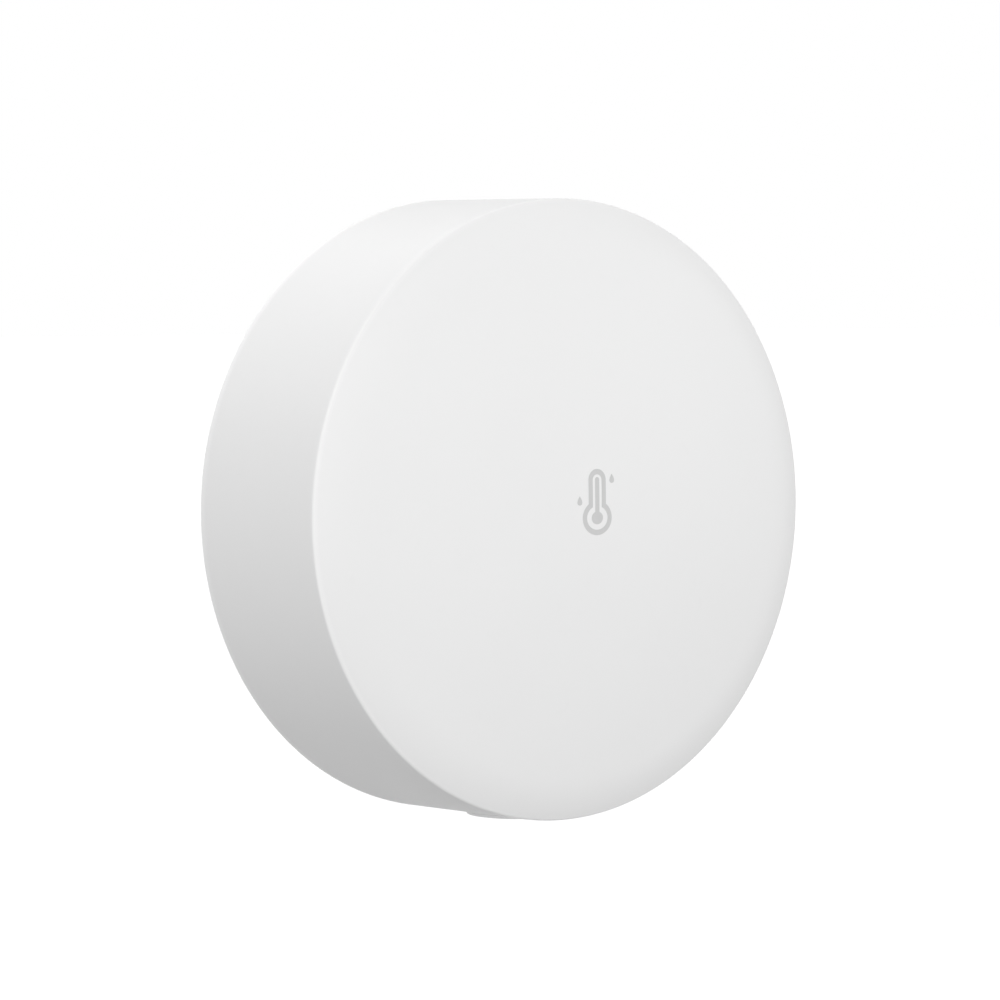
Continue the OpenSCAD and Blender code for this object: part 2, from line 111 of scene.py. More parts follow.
# Camera's place from the middle of the rim, in body radii, and its turn in degrees
CAMERA_PLACE = (-10.832, -13.3213, 0.7825)
CAMERA_TURN = (87.497, 0, -38.453)
FLOOR_REACH = 6.0
WHITE = (1, 1, 1)


def length(name, description, millimetres):
    """A length that the user can change."""
    return FloatProperty(name=name, description=description, default=millimetres * MM, min=0,
                         unit="LENGTH", precision=5)


def angle(name, description, degrees):
    """An angle that the user can change."""
    return FloatProperty(name=name, description=description, default=radians(degrees), subtype="ANGLE")


def colour(name, description, value):
    """A colour that the user can change."""
    return FloatVectorProperty(name=name, description=description, default=value, size=3, min=0, max=1,
                               subtype="COLOR")


def strength(name, description, value):
    """The strength of a light or the share of it that the user can change."""
    return FloatProperty(name=name, description=description, default=value, min=0)


class SensorShell(bpy.types.PropertyGroup):
    """Sizes of the domed shell."""

    wall_depth: length("Wall depth", "Straight side wall, from the rear edge to the rim", 13.45)
    thickness: length("Thickness", "Thickness of the shell", 1.8)
    dome_radius: length("Dome radius", "Radius of the broad dome on the front", 75)
    shoulder_radius: length("Shoulder radius", "Radius between the dome and the rim", 11.25)
    shoulder_slope: angle("Shoulder slope", "Slope at which the shoulder meets the rim", 31)
    rim_radius: length("Rim radius", "Rounding of the rim's edge", 0.3)
    edge_radius: length("Edge radius", "Rounding of the rear edge and the button's hole", 0.2)
    # The edge mask lowers the roughness at an edge and paints a lighter highlight tint there
    edge_fade: length("Edge fade", "Width over which the polish beside an edge fades", 0.2)
    hole_margin: length("Hole margin", "Wall drawn round the button's hole", 1.15)
    ink_room: length("Ink room", "How far the dome sits back under the print", 0.012)
    ink_reach: length("Ink reach", "Radius within which the dome sits back", 12)
    ink_fade: length("Ink fade", "Width over which the dome comes forward again", 8)
    ledge_width: length("Ledge width", "Bayonet ledge, inwards from the wall", 1.2)
    ledge_depth: length("Ledge depth", "Bayonet ledge, from back to front", 1.65)
    ledge_back: length("Ledge place", "Rear face of the ledges, from the wall", 2.95)
    ledge_span: angle("Ledge span", "Angle that a ledge covers", 20)
    stop_front: length("Stop place", "Front end of the stops on the ledges, from the wall", 5.75)
    stop_first: angle("Stop side", "Near side of a stop, from the ledge's middle", 8.125)
    stop_last: angle("Stop end", "Far side of a stop, from the ledge's middle", 9.625)
    post_radius: length("Post radius", "Radius of the screw posts", 2.2)
    post_bore: length("Post bore", "Radius of the posts' screw holes", 0.87)
    post_back: length("Post place", "Rear end of the posts, from the wall", 11.85)
    post_floor: length("Post floor", "Bottom of the screw holes, from the wall", 14.4)
    post_front: length("Post front", "Front end of the posts in the dome, from the wall", 15.6)
    post_circle: length("Post circle", "Distance of the posts from the axis", 15.5)
    lug_turn: angle("Lug direction", "Direction of the first ledge from the right", 6)


class SensorButton(bpy.types.PropertyGroup):
    """Sizes of the pairing button."""

    radius: length("Cap radius", "Radius of the cap", 3.5)
    dome_radius: length("Dome radius", "Radius of the cap's domed end", 18)
    edge_radius: length("Edge radius", "Rounding of the cap's edge", 0.3)
    gap: length("Gap", "Gap round the cap in its hole", 0.15)
    flange_radius: length("Flange radius", "Radius of the flange behind the wall", 4.1)
    flange_out: length("Flange place", "Outer face of the flange, from the puck's axis", 20.14)
    flange_depth: length("Flange thickness", "Thickness of the flange", 0.8)
    stem_radius: length("Stem radius", "Radius of the stem", 1.3)
    stem_in: length("Stem end", "Inner end of the stem, from the puck's axis", 18.74)


class SensorPictogram(bpy.types.PropertyGroup):
    """Sizes of the printed thermometer and drops."""

    rise: length("Rise", "Height of the print's middle over the face's middle", 0.7125)
    height: length("Height", "Height of the thermometer", 4.755)
    bulb_width: length("Bulb width", "Width of the bulb's outline", 2.68)
    bulb_height: length("Bulb height", "Height of the bulb's outline", 2.48)
    tube_width: length("Tube width", "Width of the tube's outline", 1.6)
    stroke: length("Stroke", "Width of the printed line", 0.39)
    stem_width: length("Column width", "Width of the filled column", 0.39)
    stem_top: length("Column top", "Distance of the column's top from the outline's top", 0.58)
    core_width: length("Core width", "Width of the filled bulb", 1.04)
    core_height: length("Core height", "Height of the filled bulb", 0.92)
    drop_width: length("Drop width", "Width of a drop", 0.44)
    drop_height: length("Drop height", "Height of a drop", 0.67)
    ink: length("Ink", "Thickness of the ink over the face", 0.006)
    root: length("Root", "How deep the ink reaches into the face", 0.02)


class SensorBase(bpy.types.PropertyGroup):
    """Sizes of the wall base and of the foam pad behind it."""

    radius: length("Radius", "Radius of the plate", 20.5)
    thickness: length("Thickness", "Thickness of the plate", 2)
    edge: length("Edge", "Rounding of the plate's edge and of its air slots", 0.25)
    slot_circle: length("Slot circle", "Distance of the air slots from the axis", 17.75)
    slot_length: length("Slot length", "Length of an air slot", 3)
    slot_width: length("Slot width", "Width of an air slot", 1.2)
    slot_reach: length("Slot reach", "Plate drawn on each side of the slot circle", 1.95)
    tab_inner: length("Tab inside", "Inner radius of the tabs that carry the lugs", 18.2)
    tab_outer: length("Tab outside", "Outer radius of the tabs", 19.3)
    lug_back: length("Lug place", "Rear face of the lugs, from the wall", 4.75)
    lug_front: length("Lug front", "Front face of the lugs, from the wall", 5.75)
    lug_span: angle("Lug span", "Angle that a lug covers", 15)
    mark_height: length("Mark height", "Height of the raised marks", 0.2)
    arrow_width: length("Arrow width", "Width of the arrows' shafts", 0.6)
    arrow_reach: angle("Arrow reach", "Angle from an arrow's middle to its ends", 11)
    pin_radius: length("Pin mark", "Radius of the mould's pin marks", 0.9)
    pin_turn: angle("Pin place", "Angle from a lug to the pin marks beside it", 25)
    foam_bulge: length("Foam bulge", "How far the foam bulges between its faces", 0.12)
    foam_ripple: length("Foam ripple", "How uneven the foam's cut edge is", 0.02)


class SensorFinish(bpy.types.PropertyGroup):
    """Colours of what shows outside."""

    shell: colour("Shell", "White of the shell", (0.86, 0.86, 0.86))
    button: colour("Button", "White of the button", (0.84, 0.84, 0.84))
    base: colour("Base", "White of the wall base", (0.82, 0.82, 0.82))
    ink: colour("Ink", "Grey of the print", (0.62, 0.62, 0.62))
    foam: colour("Foam", "Grey of the foam pad", (0.78, 0.78, 0.76))


class SensorStage(bpy.types.PropertyGroup):
    """Camera, light and floor."""

    lens: FloatProperty(name="Lens", description="Focal length in millimetres", default=192.52, min=1,
                        unit="CAMERA")
    key: strength("Key", "Main light, from the front left and above", 1.0)
    side: strength("Side", "Level light from the front left", 0.96)
    fill: strength("Fill", "Broad light from the right", 0.84)
    back: strength("Back", "Broad light from behind and above", 1.12)
    sky: strength("Sky", "Even light all round", 0.4)
    softness: angle("Softness", "Width of the broadest light as seen from the puck", 60)
    floor_tone: strength("Floor tone", "Share of light that the floor shows the camera", 0.6)
    floor_bounce: strength("Floor bounce", "Share of light that the floor sends to the puck", 0.45)
    floor_glow: strength("Floor glow", "What lifts the floor to white for the camera", 0.6)
    drop: length("Drop", "Distance of the floor under the puck", 60)


# Surfaces

def joined(*parts):
    """Points from their coordinates, each an array or one value for all."""
    return np.stack(np.broadcast_arrays(*parts), axis=-1)


def arc(centre, radius, start, stop, count):
    """Points of an arc in (radius, forwards): centre + radius (sin s, cos s), s from start to stop."""
    s = np.linspace(start, stop, count)
    return joined(centre[0] + radius * np.sin(s), centre[1] + radius * np.cos(s))


def line(start, stop, count):
    """Evenly spaced points from start to stop, both in (radius, forwards)."""
    return np.linspace(start, stop, count)


def corners(r0, r1, t0, t1):
    """Corners of a rectangle, such as a bar's profile between two radii and two distances forwards."""
    return [(r0, t0), (r1, t0), (r1, t1), (r0, t1)]


def eased(polygon, cut, closed=True, steps=6):
    """A polygon with eased corners: each corner P becomes (1-s)^2 A + 2 s (1-s) P + s^2 B, where A and B
    lie on its sides, the cut's millimetres from P. An open polygon keeps its ends."""
    p = np.asarray(polygon, float)
    cut = np.array(cut)[:, None] * MM
    to_last, to_next = np.roll(p, 1, 0) - p, np.roll(p, -1, 0) - p
    a = p + cut * to_last / np.linalg.norm(to_last, axis=1, keepdims=True)
    b = p + cut * to_next / np.linalg.norm(to_next, axis=1, keepdims=True)
    s = np.linspace(0, 1, steps)[None, :, None]
    rows = (1 - s) ** 2 * a[:, None] + 2 * s * (1 - s) * p[:, None] + s ** 2 * b[:, None]
    if closed:
        return rows.reshape(-1, 2)
    return np.concatenate([p[:1], rows[1:-1].reshape(-1, 2), p[-1:]])


def turned(profile, angles, place=MIDDLE, side=AXIS_X, up=AXIS_Z, ahead=-AXIS_Y):
    """A profile of (r, h) carried round an axis: place + r cos(a) side + r sin(a) up + h ahead."""
    r, h = profile[:, 0, None, None], profile[:, 1, None, None]
    a = np.asarray(angles)[None, :, None]
    return place + r * np.cos(a) * side + r * np.sin(a) * up + h * ahead


def full_turn(count):
    """Angles once round."""
    return np.linspace(0, tau, count, endpoint=False)


def spoke(turn):
    """The direction away from the axis at an angle from the right."""
    return cos(turn) * AXIS_X + sin(turn) * AXIS_Z


def cells(points, close_rows=False, close_columns=True, holes=()):
    """A grid of points as a list, and the quads between its rows and columns. A hole is a block of
    cells, (first row, last row, first column, last column), that is left out."""
    rows, columns = points.shape[:2]
    index = np.arange(rows * columns).reshape(rows, columns)
    if close_rows:
        index = np.concatenate([index, index[:1]])
    if close_columns:
        index = np.concatenate([index, index[:, :1]], axis=1)
    quads = np.stack([index[:-1, :-1], index[1:, :-1], index[1:, 1:], index[:-1, 1:]], axis=-1)
    keep = np.ones(quads.shape[:2], bool)
    for r0, r1, c0, c1 in holes:
        keep[r0:r1, c0:c1] = False
    return points.reshape(-1, 3), quads[keep].tolist()


def capped(points):
    """A bar: a closed profile (rows) carried along a path (columns), with a face over each end."""
    flat, faces = cells(points, close_rows=True, close_columns=False)
    rows, columns = points.shape[:2]
    first = np.arange(rows) * columns
    return flat, faces + [first.tolist(), (first + columns - 1).tolist()]


def put(name, data):
    """An object that holds the data, put into the scene."""
    made = bpy.data.objects.new(name, data)
    bpy.context.scene.collection.objects.link(made)
    return made


def make_piece(name, surfaces, finish, body, stands_for=(), edge=None):
    """One mesh object of several surfaces: shared points merged, faces turned outwards, and the edge
    function's values, from 0 to 1, kept as the attribute edge."""
    points, faces, count = [], [], 0
    for flat, own in surfaces:
        points.append(flat)
        faces += [[i + count for i in face] for face in own]
        count += len(flat)
    mesh = bpy.data.meshes.new(name)
    mesh.from_pydata(np.concatenate(points), [], faces)
    work = bmesh.new()
    work.from_mesh(mesh)
    bmesh.ops.remove_doubles(work, verts=work.verts, dist=WELD)
    bmesh.ops.delete(work, geom=[v for v in work.verts if not v.link_faces], context="VERTS")
    bmesh.ops.recalc_face_normals(work, faces=work.faces)
    work.to_mesh(mesh)
    work.free()
    mesh.polygons.foreach_set("use_smooth", np.ones(len(mesh.polygons), bool))
    mesh.set_sharp_from_angle(angle=CRISP)
    if edge:
        co = np.zeros(3 * len(mesh.vertices))
        mesh.vertices.foreach_get("co", co)
        mask = mesh.attributes.new("edge", "FLOAT", "POINT")
        mask.data.foreach_set("value", np.clip(edge(co.reshape(-1, 3)), 0, 1).astype(np.float32))
    mesh.materials.append(finish)
    made = put(name, mesh)
    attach(made, body)
    if stands_for:
        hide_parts(*stands_for)
    return made


# Materials

def add_node(tree, kind, inputs=None, **settings):
    """A node with its settings, each input set to a value or joined to another node's output."""
    made = tree.nodes.new(kind)
    for key, value in settings.items():
        setattr(made, key, value)
    for key, value in (inputs or {}).items():
        if isinstance(value, bpy.types.NodeSocket):
            tree.links.new(value, made.inputs[key])
        else:
            made.inputs[key].default_value = value
    return made


def maths(tree, operation, *values):
    """The output of a Math node on values or other nodes' outputs."""
    return add_node(tree, "ShaderNodeMath", dict(enumerate(values)), operation=operation).outputs[0]


def blended(tree, amount, first, second):
    """The colour between first and second."""
    return add_node(tree, "ShaderNodeMix", {0: amount, 6: first, 7: second}, data_type="RGBA").outputs[2]


def ranged(tree, value, low, high, from_low=0.0, from_high=1.0):
    """A value carried from one range to another, clamped."""
    inputs = {"Value": value, "From Min": from_low, "From Max": from_high, "To Min": low, "To Max": high}
    return add_node(tree, "ShaderNodeMapRange", inputs).outputs[0]


def shade(rgb, factor=1.0):
    """A colour with alpha, made lighter or darker."""
    return tuple(min(1.0, c * factor) for c in rgb) + (1.0,)


def placed(tree):
    """Object coordinates, which stay with the piece."""
    return tree.nodes.new("ShaderNodeTexCoord").outputs["Object"]


def noise(tree, vector, scale, detail=3.0, roughness=0.5):
    """The value of a noise texture."""
    inputs = {"Vector": vector, "Scale": scale, "Detail": detail, "Roughness": roughness}
    return add_node(tree, "ShaderNodeTexNoise", inputs).outputs["Fac"]


def crumbs(tree, vector, scale, randomness=1.0):
    """The outputs of a cell texture."""
    inputs = {"Vector": vector, "Scale": scale, "Randomness": randomness}
    return add_node(tree, "ShaderNodeTexVoronoi", inputs).outputs


def new_group(name, inputs):
    """An empty node group with named float inputs, each with a default."""
    tree = bpy.data.node_groups.new(name, "ShaderNodeTree")
    for name, default in inputs.items():
        socket = tree.interface.new_socket(name, in_out="INPUT", socket_type="NodeSocketFloat")
        socket.default_value = default
    return tree, tree.nodes.new("NodeGroupInput").outputs


def ended(tree, **outputs):
    """The group with named float outputs."""
    for name in outputs:
        tree.interface.new_socket(name, in_out="OUTPUT", socket_type="NodeSocketFloat")
    add_node(tree, "NodeGroupOutput", outputs)
    return tree


def moulded_grain():
    """Group: the fine grain of a moulded skin, broad uneven flow and faint specks."""
    tree, given = new_group("moulded grain", {"Grain": 4200.0, "Flow": 90.0})
    where = placed(tree)
    spots = noise(tree, where, maths(tree, "MULTIPLY", given["Grain"], 0.21), 1.0)
    return ended(tree, Height=noise(tree, where, given["Grain"], 2.0),
                 Flow=noise(tree, where, given["Flow"], 4.0, 0.6),
                 Specks=ranged(tree, spots, 0.0, 1.0, 0.66, 0.74))


def drawn_metal():
    """Group: streaks of rolled or drawn metal, and dull stains on it."""
    tree, given = new_group("drawn metal", {"Streaks": 2600.0, "Stretch": 0.05})
    where = placed(tree)
    size = add_node(tree, "ShaderNodeCombineXYZ", {"X": given["Stretch"], "Y": 1.0, "Z": 1.0}).outputs[0]
    long = add_node(tree, "ShaderNodeMapping", {"Vector": where, "Scale": size}).outputs[0]
    return ended(tree, Height=noise(tree, long, given["Streaks"], 3.0),
                 Stain=noise(tree, where, 240.0, 5.0, 0.65))


def end_caps():
    """Group: 1 on the metal ends of chips in a row along X, by the distance from a chip's middle."""
    tree, given = new_group("end caps", {"Step": 0.0025, "Middle": 0.0, "Half body": 0.0003})
    x = add_node(tree, "ShaderNodeSeparateXYZ", {"Vector": placed(tree)}).outputs["X"]
    half_step = maths(tree, "MULTIPLY", given["Step"], 0.5)
    shifted = maths(tree, "ADD", maths(tree, "SUBTRACT", x, given["Middle"]), half_step)
    within = maths(tree, "FLOORED_MODULO", shifted, given["Step"])
    off = maths(tree, "ABSOLUTE", maths(tree, "SUBTRACT", within, half_step))
    return ended(tree, Mask=maths(tree, "GREATER_THAN", off, given["Half body"]))


def group(tree, make, **values):
    """The outputs of a node group, which a function makes once, placed with values of its own."""
    shared = bpy.data.node_groups.get(make.__name__.replace("_", " ")) or make()
    inputs = {key.replace("_", " ").capitalize(): value for key, value in values.items()}
    return add_node(tree, "ShaderNodeGroup", inputs, node_tree=shared).outputs


def new_material(name, **constants):
    """A material and its tree, with the Principled sockets that are the same all over."""
    made = bpy.data.materials.new(name)
    made.use_nodes = True
    shader = made.node_tree.nodes["Principled BSDF"]
    for key, value in constants.items():
        shader.inputs[key.replace("_", " ").title().replace("Ior", "IOR")].default_value = value
    return made, made.node_tree


def dressed(made, height=None, strength=0.2, distance=FINE, **outputs):
    """The material with outputs joined to its Principled sockets, and a height joined through a bump."""
    tree = made.node_tree
    if height is not None:
        bump = {"Strength": strength, "Distance": distance, "Height": height}
        outputs["normal"] = add_node(tree, "ShaderNodeBump", bump).outputs[0]
    for key, value in outputs.items():
        tree.links.new(value, tree.nodes["Principled BSDF"].inputs[key.replace("_", " ").title()])
    return made


def plastic(name, rgb, rough=0.5, grain=4200.0, depth=0.12, uneven=0.02, specks=0.1, edges=False):
    """Moulded plastic: a fine grain in the bump, uneven tint and gloss, and glossier edges that carry a
    painted highlight.
    """
    made, tree = new_material(name, specular_ior_level=0.3)
    skin = group(tree, moulded_grain, grain=grain)
    tint = blended(tree, skin["Flow"], shade(rgb, 1 - uneven), shade(rgb, 1 + uneven))
    tint = blended(tree, maths(tree, "MULTIPLY", skin["Specks"], specks), tint, shade(rgb, 0.8))
    gloss = ranged(tree, skin["Flow"], rough - 0.05, rough + 0.05, 0.3, 0.7)
    if edges:
        polish_and_painted_highlight = add_node(tree, "ShaderNodeAttribute", attribute_name="edge").outputs["Fac"]
        gloss = maths(tree, "SUBTRACT", gloss, maths(tree, "MULTIPLY", polish_and_painted_highlight, 0.12))
        # Painted highlight: along the edge mask the tint is made lighter, standing in for light caught by
        # a rounded edge
        tint = blended(tree, polish_and_painted_highlight, tint, shade(rgb, 1.08))
    return dressed(made, skin["Height"], depth, base_color=tint, roughness=gloss)


def metal(name, rgb, rough=0.3, streaks=2600.0, stretch=0.05):
    """Plated sheet metal: drawn streaks in the bump and stains that dull it."""
    made, tree = new_material(name, metallic=1.0)
    skin = group(tree, drawn_metal, streaks=streaks, stretch=stretch)
    tint = blended(tree, skin["Stain"], shade(rgb, 0.82), shade(rgb, 1.1))
    gloss = ranged(tree, skin["Stain"], rough + 0.15, rough - 0.05, 0.35, 0.65)
    return dressed(made, skin["Height"], base_color=tint, roughness=gloss)


def mineral(name, rgb, rough=0.6, grains=3000.0, contrast=0.3):
    """Fired or pressed powder: grains of different tone, rough between them."""
    made, tree = new_material(name)
    grain = crumbs(tree, placed(tree), grains)
    tone = add_node(tree, "ShaderNodeSeparateColor", {"Color": grain["Color"]}).outputs[0]
    tint = blended(tree, tone, shade(rgb, 1 - contrast), shade(rgb, 1 + contrast))
    gloss = ranged(tree, tone, rough - 0.1, rough + 0.1)
    return dressed(made, grain["Distance"], 0.3, COARSE, base_color=tint, roughness=gloss)


def foam(name, rgb):
    """Closed-cell foam: pores of two sizes, sunk, and darker inside as painted shade."""
    made, tree = new_material(name, roughness=0.85, specular_ior_level=0.15)
    where = placed(tree)
    large, small = (crumbs(tree, where, scale)["Distance"] for scale in (2600.0, 6100.0))
    pores = maths(tree, "ADD", large, maths(tree, "MULTIPLY", small, 0.5))
    depth = ranged(tree, pores, 0.0, 1.0, 0.1, 0.6)
    # Painted shade: the deeper a pore is sunk, the darker its tint
    tint = blended(tree, depth, shade(rgb, 0.72), shade(rgb))
    broad = maths(tree, "MULTIPLY", noise(tree, where, 130.0, 4.0, 0.6), 0.25)
    tint = blended(tree, broad, tint, shade(rgb, 0.88))
    return dressed(made, depth, 0.6, 0.1 * MM, base_color=tint)


def ended_chip(name, rgb, step, middle, half_body):
    """Small ceramic chips in a row along X, with tinned ends."""
    made, tree = new_material(name)
    ends = group(tree, end_caps, step=step, middle=middle, half_body=half_body)["Mask"]
    mottle = noise(tree, placed(tree), 5200.0)
    body = blended(tree, mottle, shade(rgb, 0.8), shade(rgb, 1.2))
    tin = blended(tree, mottle, (0.58, 0.58, 0.56, 1), (0.8, 0.8, 0.78, 1))
    return dressed(made, base_color=blended(tree, ends, body, tin), metallic=ends,
                   roughness=ranged(tree, mottle, 0.3, 0.5))


def circuit_board(name, rgb):
    """Solder resist over copper: tracks in rectangles, a little raised and lighter, and plated dots."""
    made, tree = new_material(name, specular_ior_level=0.5)
    where = placed(tree)
    flat = add_node(tree, "ShaderNodeMapping", {"Vector": where, "Rotation": (pi / 2, 0, 0)}).outputs[0]
    tracks = add_node(tree, "ShaderNodeTexBrick", {
        "Vector": flat, "Color1": (0, 0, 0, 1), "Color2": (0, 0, 0, 1), "Mortar": (1, 1, 1, 1),
        "Scale": 420.0, "Mortar Size": 0.025, "Mortar Smooth": 0.2, "Brick Width": 0.9,
        "Row Height": 0.45}).outputs["Fac"]
    dots = maths(tree, "LESS_THAN", crumbs(tree, where, 420.0, 0.6)["Distance"], 0.09)
    cloud = noise(tree, where, 160.0, 4.0)
    resist = blended(tree, cloud, shade(rgb, 0.85), shade(rgb, 1.1))
    resist = blended(tree, maths(tree, "MULTIPLY", tracks, 0.7), resist, shade(rgb, 1.9))
    tint = blended(tree, dots, resist, (0.75, 0.6, 0.3, 1))
    return dressed(made, tracks, 0.4, COARSE, base_color=tint, metallic=dots,
                   roughness=ranged(tree, cloud, 0.25, 0.42))


def printed_ink(name, rgb):
    """Screen-printed ink: even, with a faint mesh left by the screen and thin spots."""
    made, tree = new_material(name, specular_ior_level=0.25)
    where = placed(tree)
    mesh = add_node(tree, "ShaderNodeTexChecker", {"Vector": where, "Scale": 9000.0}).outputs["Fac"]
    thin = noise(tree, where, 2400.0)
    tone = maths(tree, "ADD", maths(tree, "MULTIPLY", mesh, 0.15), maths(tree, "MULTIPLY", thin, 0.6))
    return dressed(made, base_color=blended(tree, tone, shade(rgb, 0.97), shade(rgb, 1.04)),
                   roughness=ranged(tree, thin, 0.5, 0.65))


def finish_nodes(material, bevel, *names):
    """Gives CAD nodes their material, and eases their sharp edges by some millimetres."""
    for name in names:
        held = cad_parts[name]
        held.data.materials.clear()
        held.data.materials.append(material)
        if bevel:
            held.modifiers.new("Merge", "WELD").merge_threshold = WELD
            ease = held.modifiers.new("Ease", "BEVEL")
            ease.width, ease.segments = bevel * MM, 2
            ease.limit_method, ease.angle_limit = "ANGLE", CRISP


# Pieces

def shell_curves(size):
    """Middles of the rim's, shoulder's and dome's arcs, and the slope at which shoulder and dome meet,
    each arc tangent to the next."""
    leave = np.array([sin(size.shoulder_slope), cos(size.shoulder_slope)])
    rim = np.array([BODY_R - size.rim_radius, BACK + size.wall_depth])
    shoulder = rim + (size.rim_radius - size.shoulder_radius) * leave
    between = size.dome_radius - size.shoulder_radius
    slope = asin(shoulder[0] / between)
    dome = np.array([0.0, shoulder[1] - between * cos(slope)])
    return rim, shoulder, dome, slope


def face_forward(size, x, z):
    """How far forwards the printed part of the dome stands at x, z."""
    _, _, dome, _ = shell_curves(size)
    return dome[1] + np.sqrt(size.dome_radius ** 2 - x ** 2 - z ** 2) - size.ink_room


def hole_rows(rim_points, wall_r, hole_r):
    """A patch on a wall between a window's rim and a round hole: points (x, forwards) slide straight
    from rim to circle, and sit on the wall at z = -sqrt(wall_r^2 - x^2)."""
    x, t = rim_points[:, 0], -rim_points[:, 1]
    above, below = t.max() - BUTTON_FORWARD, BUTTON_FORWARD - t.min()
    lift = (t - BUTTON_FORWARD) / np.where(t > BUTTON_FORWARD, above, below)
    bearing = np.arctan2(lift, x / x.max())
    v = np.linspace(0, 1, HOLE_ROWS)[:, None]
    px = x * (1 - v) + hole_r * np.cos(bearing) * v
    pt = t * (1 - v) + (BUTTON_FORWARD + hole_r * np.sin(bearing)) * v
    return joined(px, -pt, -np.sqrt(wall_r ** 2 - px ** 2)), bearing


def rim_of(points, block):
    """The points round a block of a grid's cells, in order."""
    r0, r1, c0, c1 = block
    return np.concatenate([points[r0, c0:c1], points[r0:r1, c1], points[r1, c1:c0:-1],
                           points[r1:r0:-1, c0]])


def far_rim_of(points, block):
    """The points round a block on the far side of a wall, where the rows run the other way, in the order
    of the near side's."""
    r0, r1, c0, c1 = block
    last = len(points) - 1
    return rim_of(points[::-1], (last - r1, last - r0, c0, c1))


def shell_skin(size, hole_r):
    """The shell's section carried round the axis, with a window in its outer and in its inner wall, and
    the rounded tube that joins the windows round the button's hole."""
    rim, shoulder, dome, slope = shell_curves(size)
    inner_r = BODY_R - size.thickness
    dome_in = size.dome_radius - size.thickness
    slope_in = asin(inner_r / dome_in)
    e = size.edge_radius
    low = BUTTON_FORWARD - hole_r - size.hole_margin
    high = BUTTON_FORWARD + hole_r + size.hole_margin
    high_in = dome[1] + dome_in * cos(slope_in) - e
    front = np.concatenate([
        arc(dome, size.dome_radius, 0, slope, DOME_ROWS),
        arc(shoulder, size.shoulder_radius, slope, size.shoulder_slope, SHOULDER_ROWS)[1:],
        arc(rim, size.rim_radius, size.shoulder_slope, pi / 2, BEND_ROWS)[1:-1],
        line((BODY_R, rim[1]), (BODY_R, high), RIM_ROWS + 1)[:-1],
    ])
    front[:, 1] -= size.ink_room * (1 - np.clip((front[:, 0] - size.ink_reach) / size.ink_fade, 0, 1))
    back = np.concatenate([
        line((BODY_R, low), (BODY_R, BACK + e), BACK_ROWS)[1:-1],
        arc((BODY_R - e, BACK + e), e, pi / 2, pi, EDGE_ROWS),
        arc((inner_r + e, BACK + e), e, pi, 3 * pi / 2, EDGE_ROWS),
        line((inner_r, BACK + e), (inner_r, low), BACK_ROWS)[1:-1],
    ])
    wall = line((BODY_R, high), (BODY_R, low), WINDOW_ROWS + 1)
    wall_in = line((inner_r, low), (inner_r, high_in), WINDOW_ROWS + 1)
    inside = arc(dome, dome_in, slope_in, 0, INSIDE_ROWS)
    points = turned(np.concatenate([front, wall, back, wall_in, inside]), full_turn(SHELL_COLUMNS))

    first = len(front)
    first_in = first + len(wall) + len(back)
    down, half = SHELL_COLUMNS * 3 // 4, WINDOW_ROWS // 2
    window = (first, first + WINDOW_ROWS, down - half, down + half)
    window_in = (first_in, first_in + WINDOW_ROWS, down - half, down + half)
    patch, bearing = hole_rows(rim_of(points, window), BODY_R, hole_r + e)
    patch_in, _ = hole_rows(far_rim_of(points, window_in), inner_r, hole_r)
    s = np.linspace(0, pi / 2, EDGE_ROWS)[1:, None]
    r = hole_r + e * (1 - np.sin(s))
    x = r * np.cos(bearing)
    ring = joined(x, -BUTTON_FORWARD - r * np.sin(bearing),
                  e * (1 - np.cos(s)) - np.sqrt(BODY_R ** 2 - x ** 2))
    tube = np.concatenate([patch, ring, patch_in[::-1]])
    return [cells(points, holes=(window, window_in)), cells(tube)]


def shell_fittings(size):
    """Bayonet ledges and stops, bars carried along arcs, and screw posts turned about their axes."""
    inner_r = BODY_R - size.thickness
    tip, front = inner_r - size.ledge_width, size.ledge_back + size.ledge_depth
    ledge = eased(corners(tip, inner_r + SINK, size.ledge_back, front), (0.15, 0, 0, 0.15))
    stop = eased(corners(tip + SINK / 2, inner_r + SINK / 2, front - SINK, size.stop_front),
                 (0, 0, 0, 0.15))
    post = eased([
        (0, size.post_floor), (size.post_bore, size.post_floor), (size.post_bore, size.post_back),
        (size.post_radius, size.post_back), (size.post_radius, size.post_front), (0, size.post_front),
    ], (0, 0, 0.1, 0.15, 0, 0), closed=False)
    ledge_turn = np.linspace(-size.ledge_span / 2, size.ledge_span / 2, 17)
    stop_turn = np.linspace(size.stop_first, size.stop_last, 3)
    made = []
    for third in range(3):
        lug = size.lug_turn + third * THIRD
        made.append(capped(turned(ledge, lug + ledge_turn)))
        made.append(capped(turned(stop, lug + stop_turn)))
        place = size.post_circle * spoke(pi / 2 + third * THIRD)
        made.append(cells(turned(post, full_turn(40), place)))
    return made


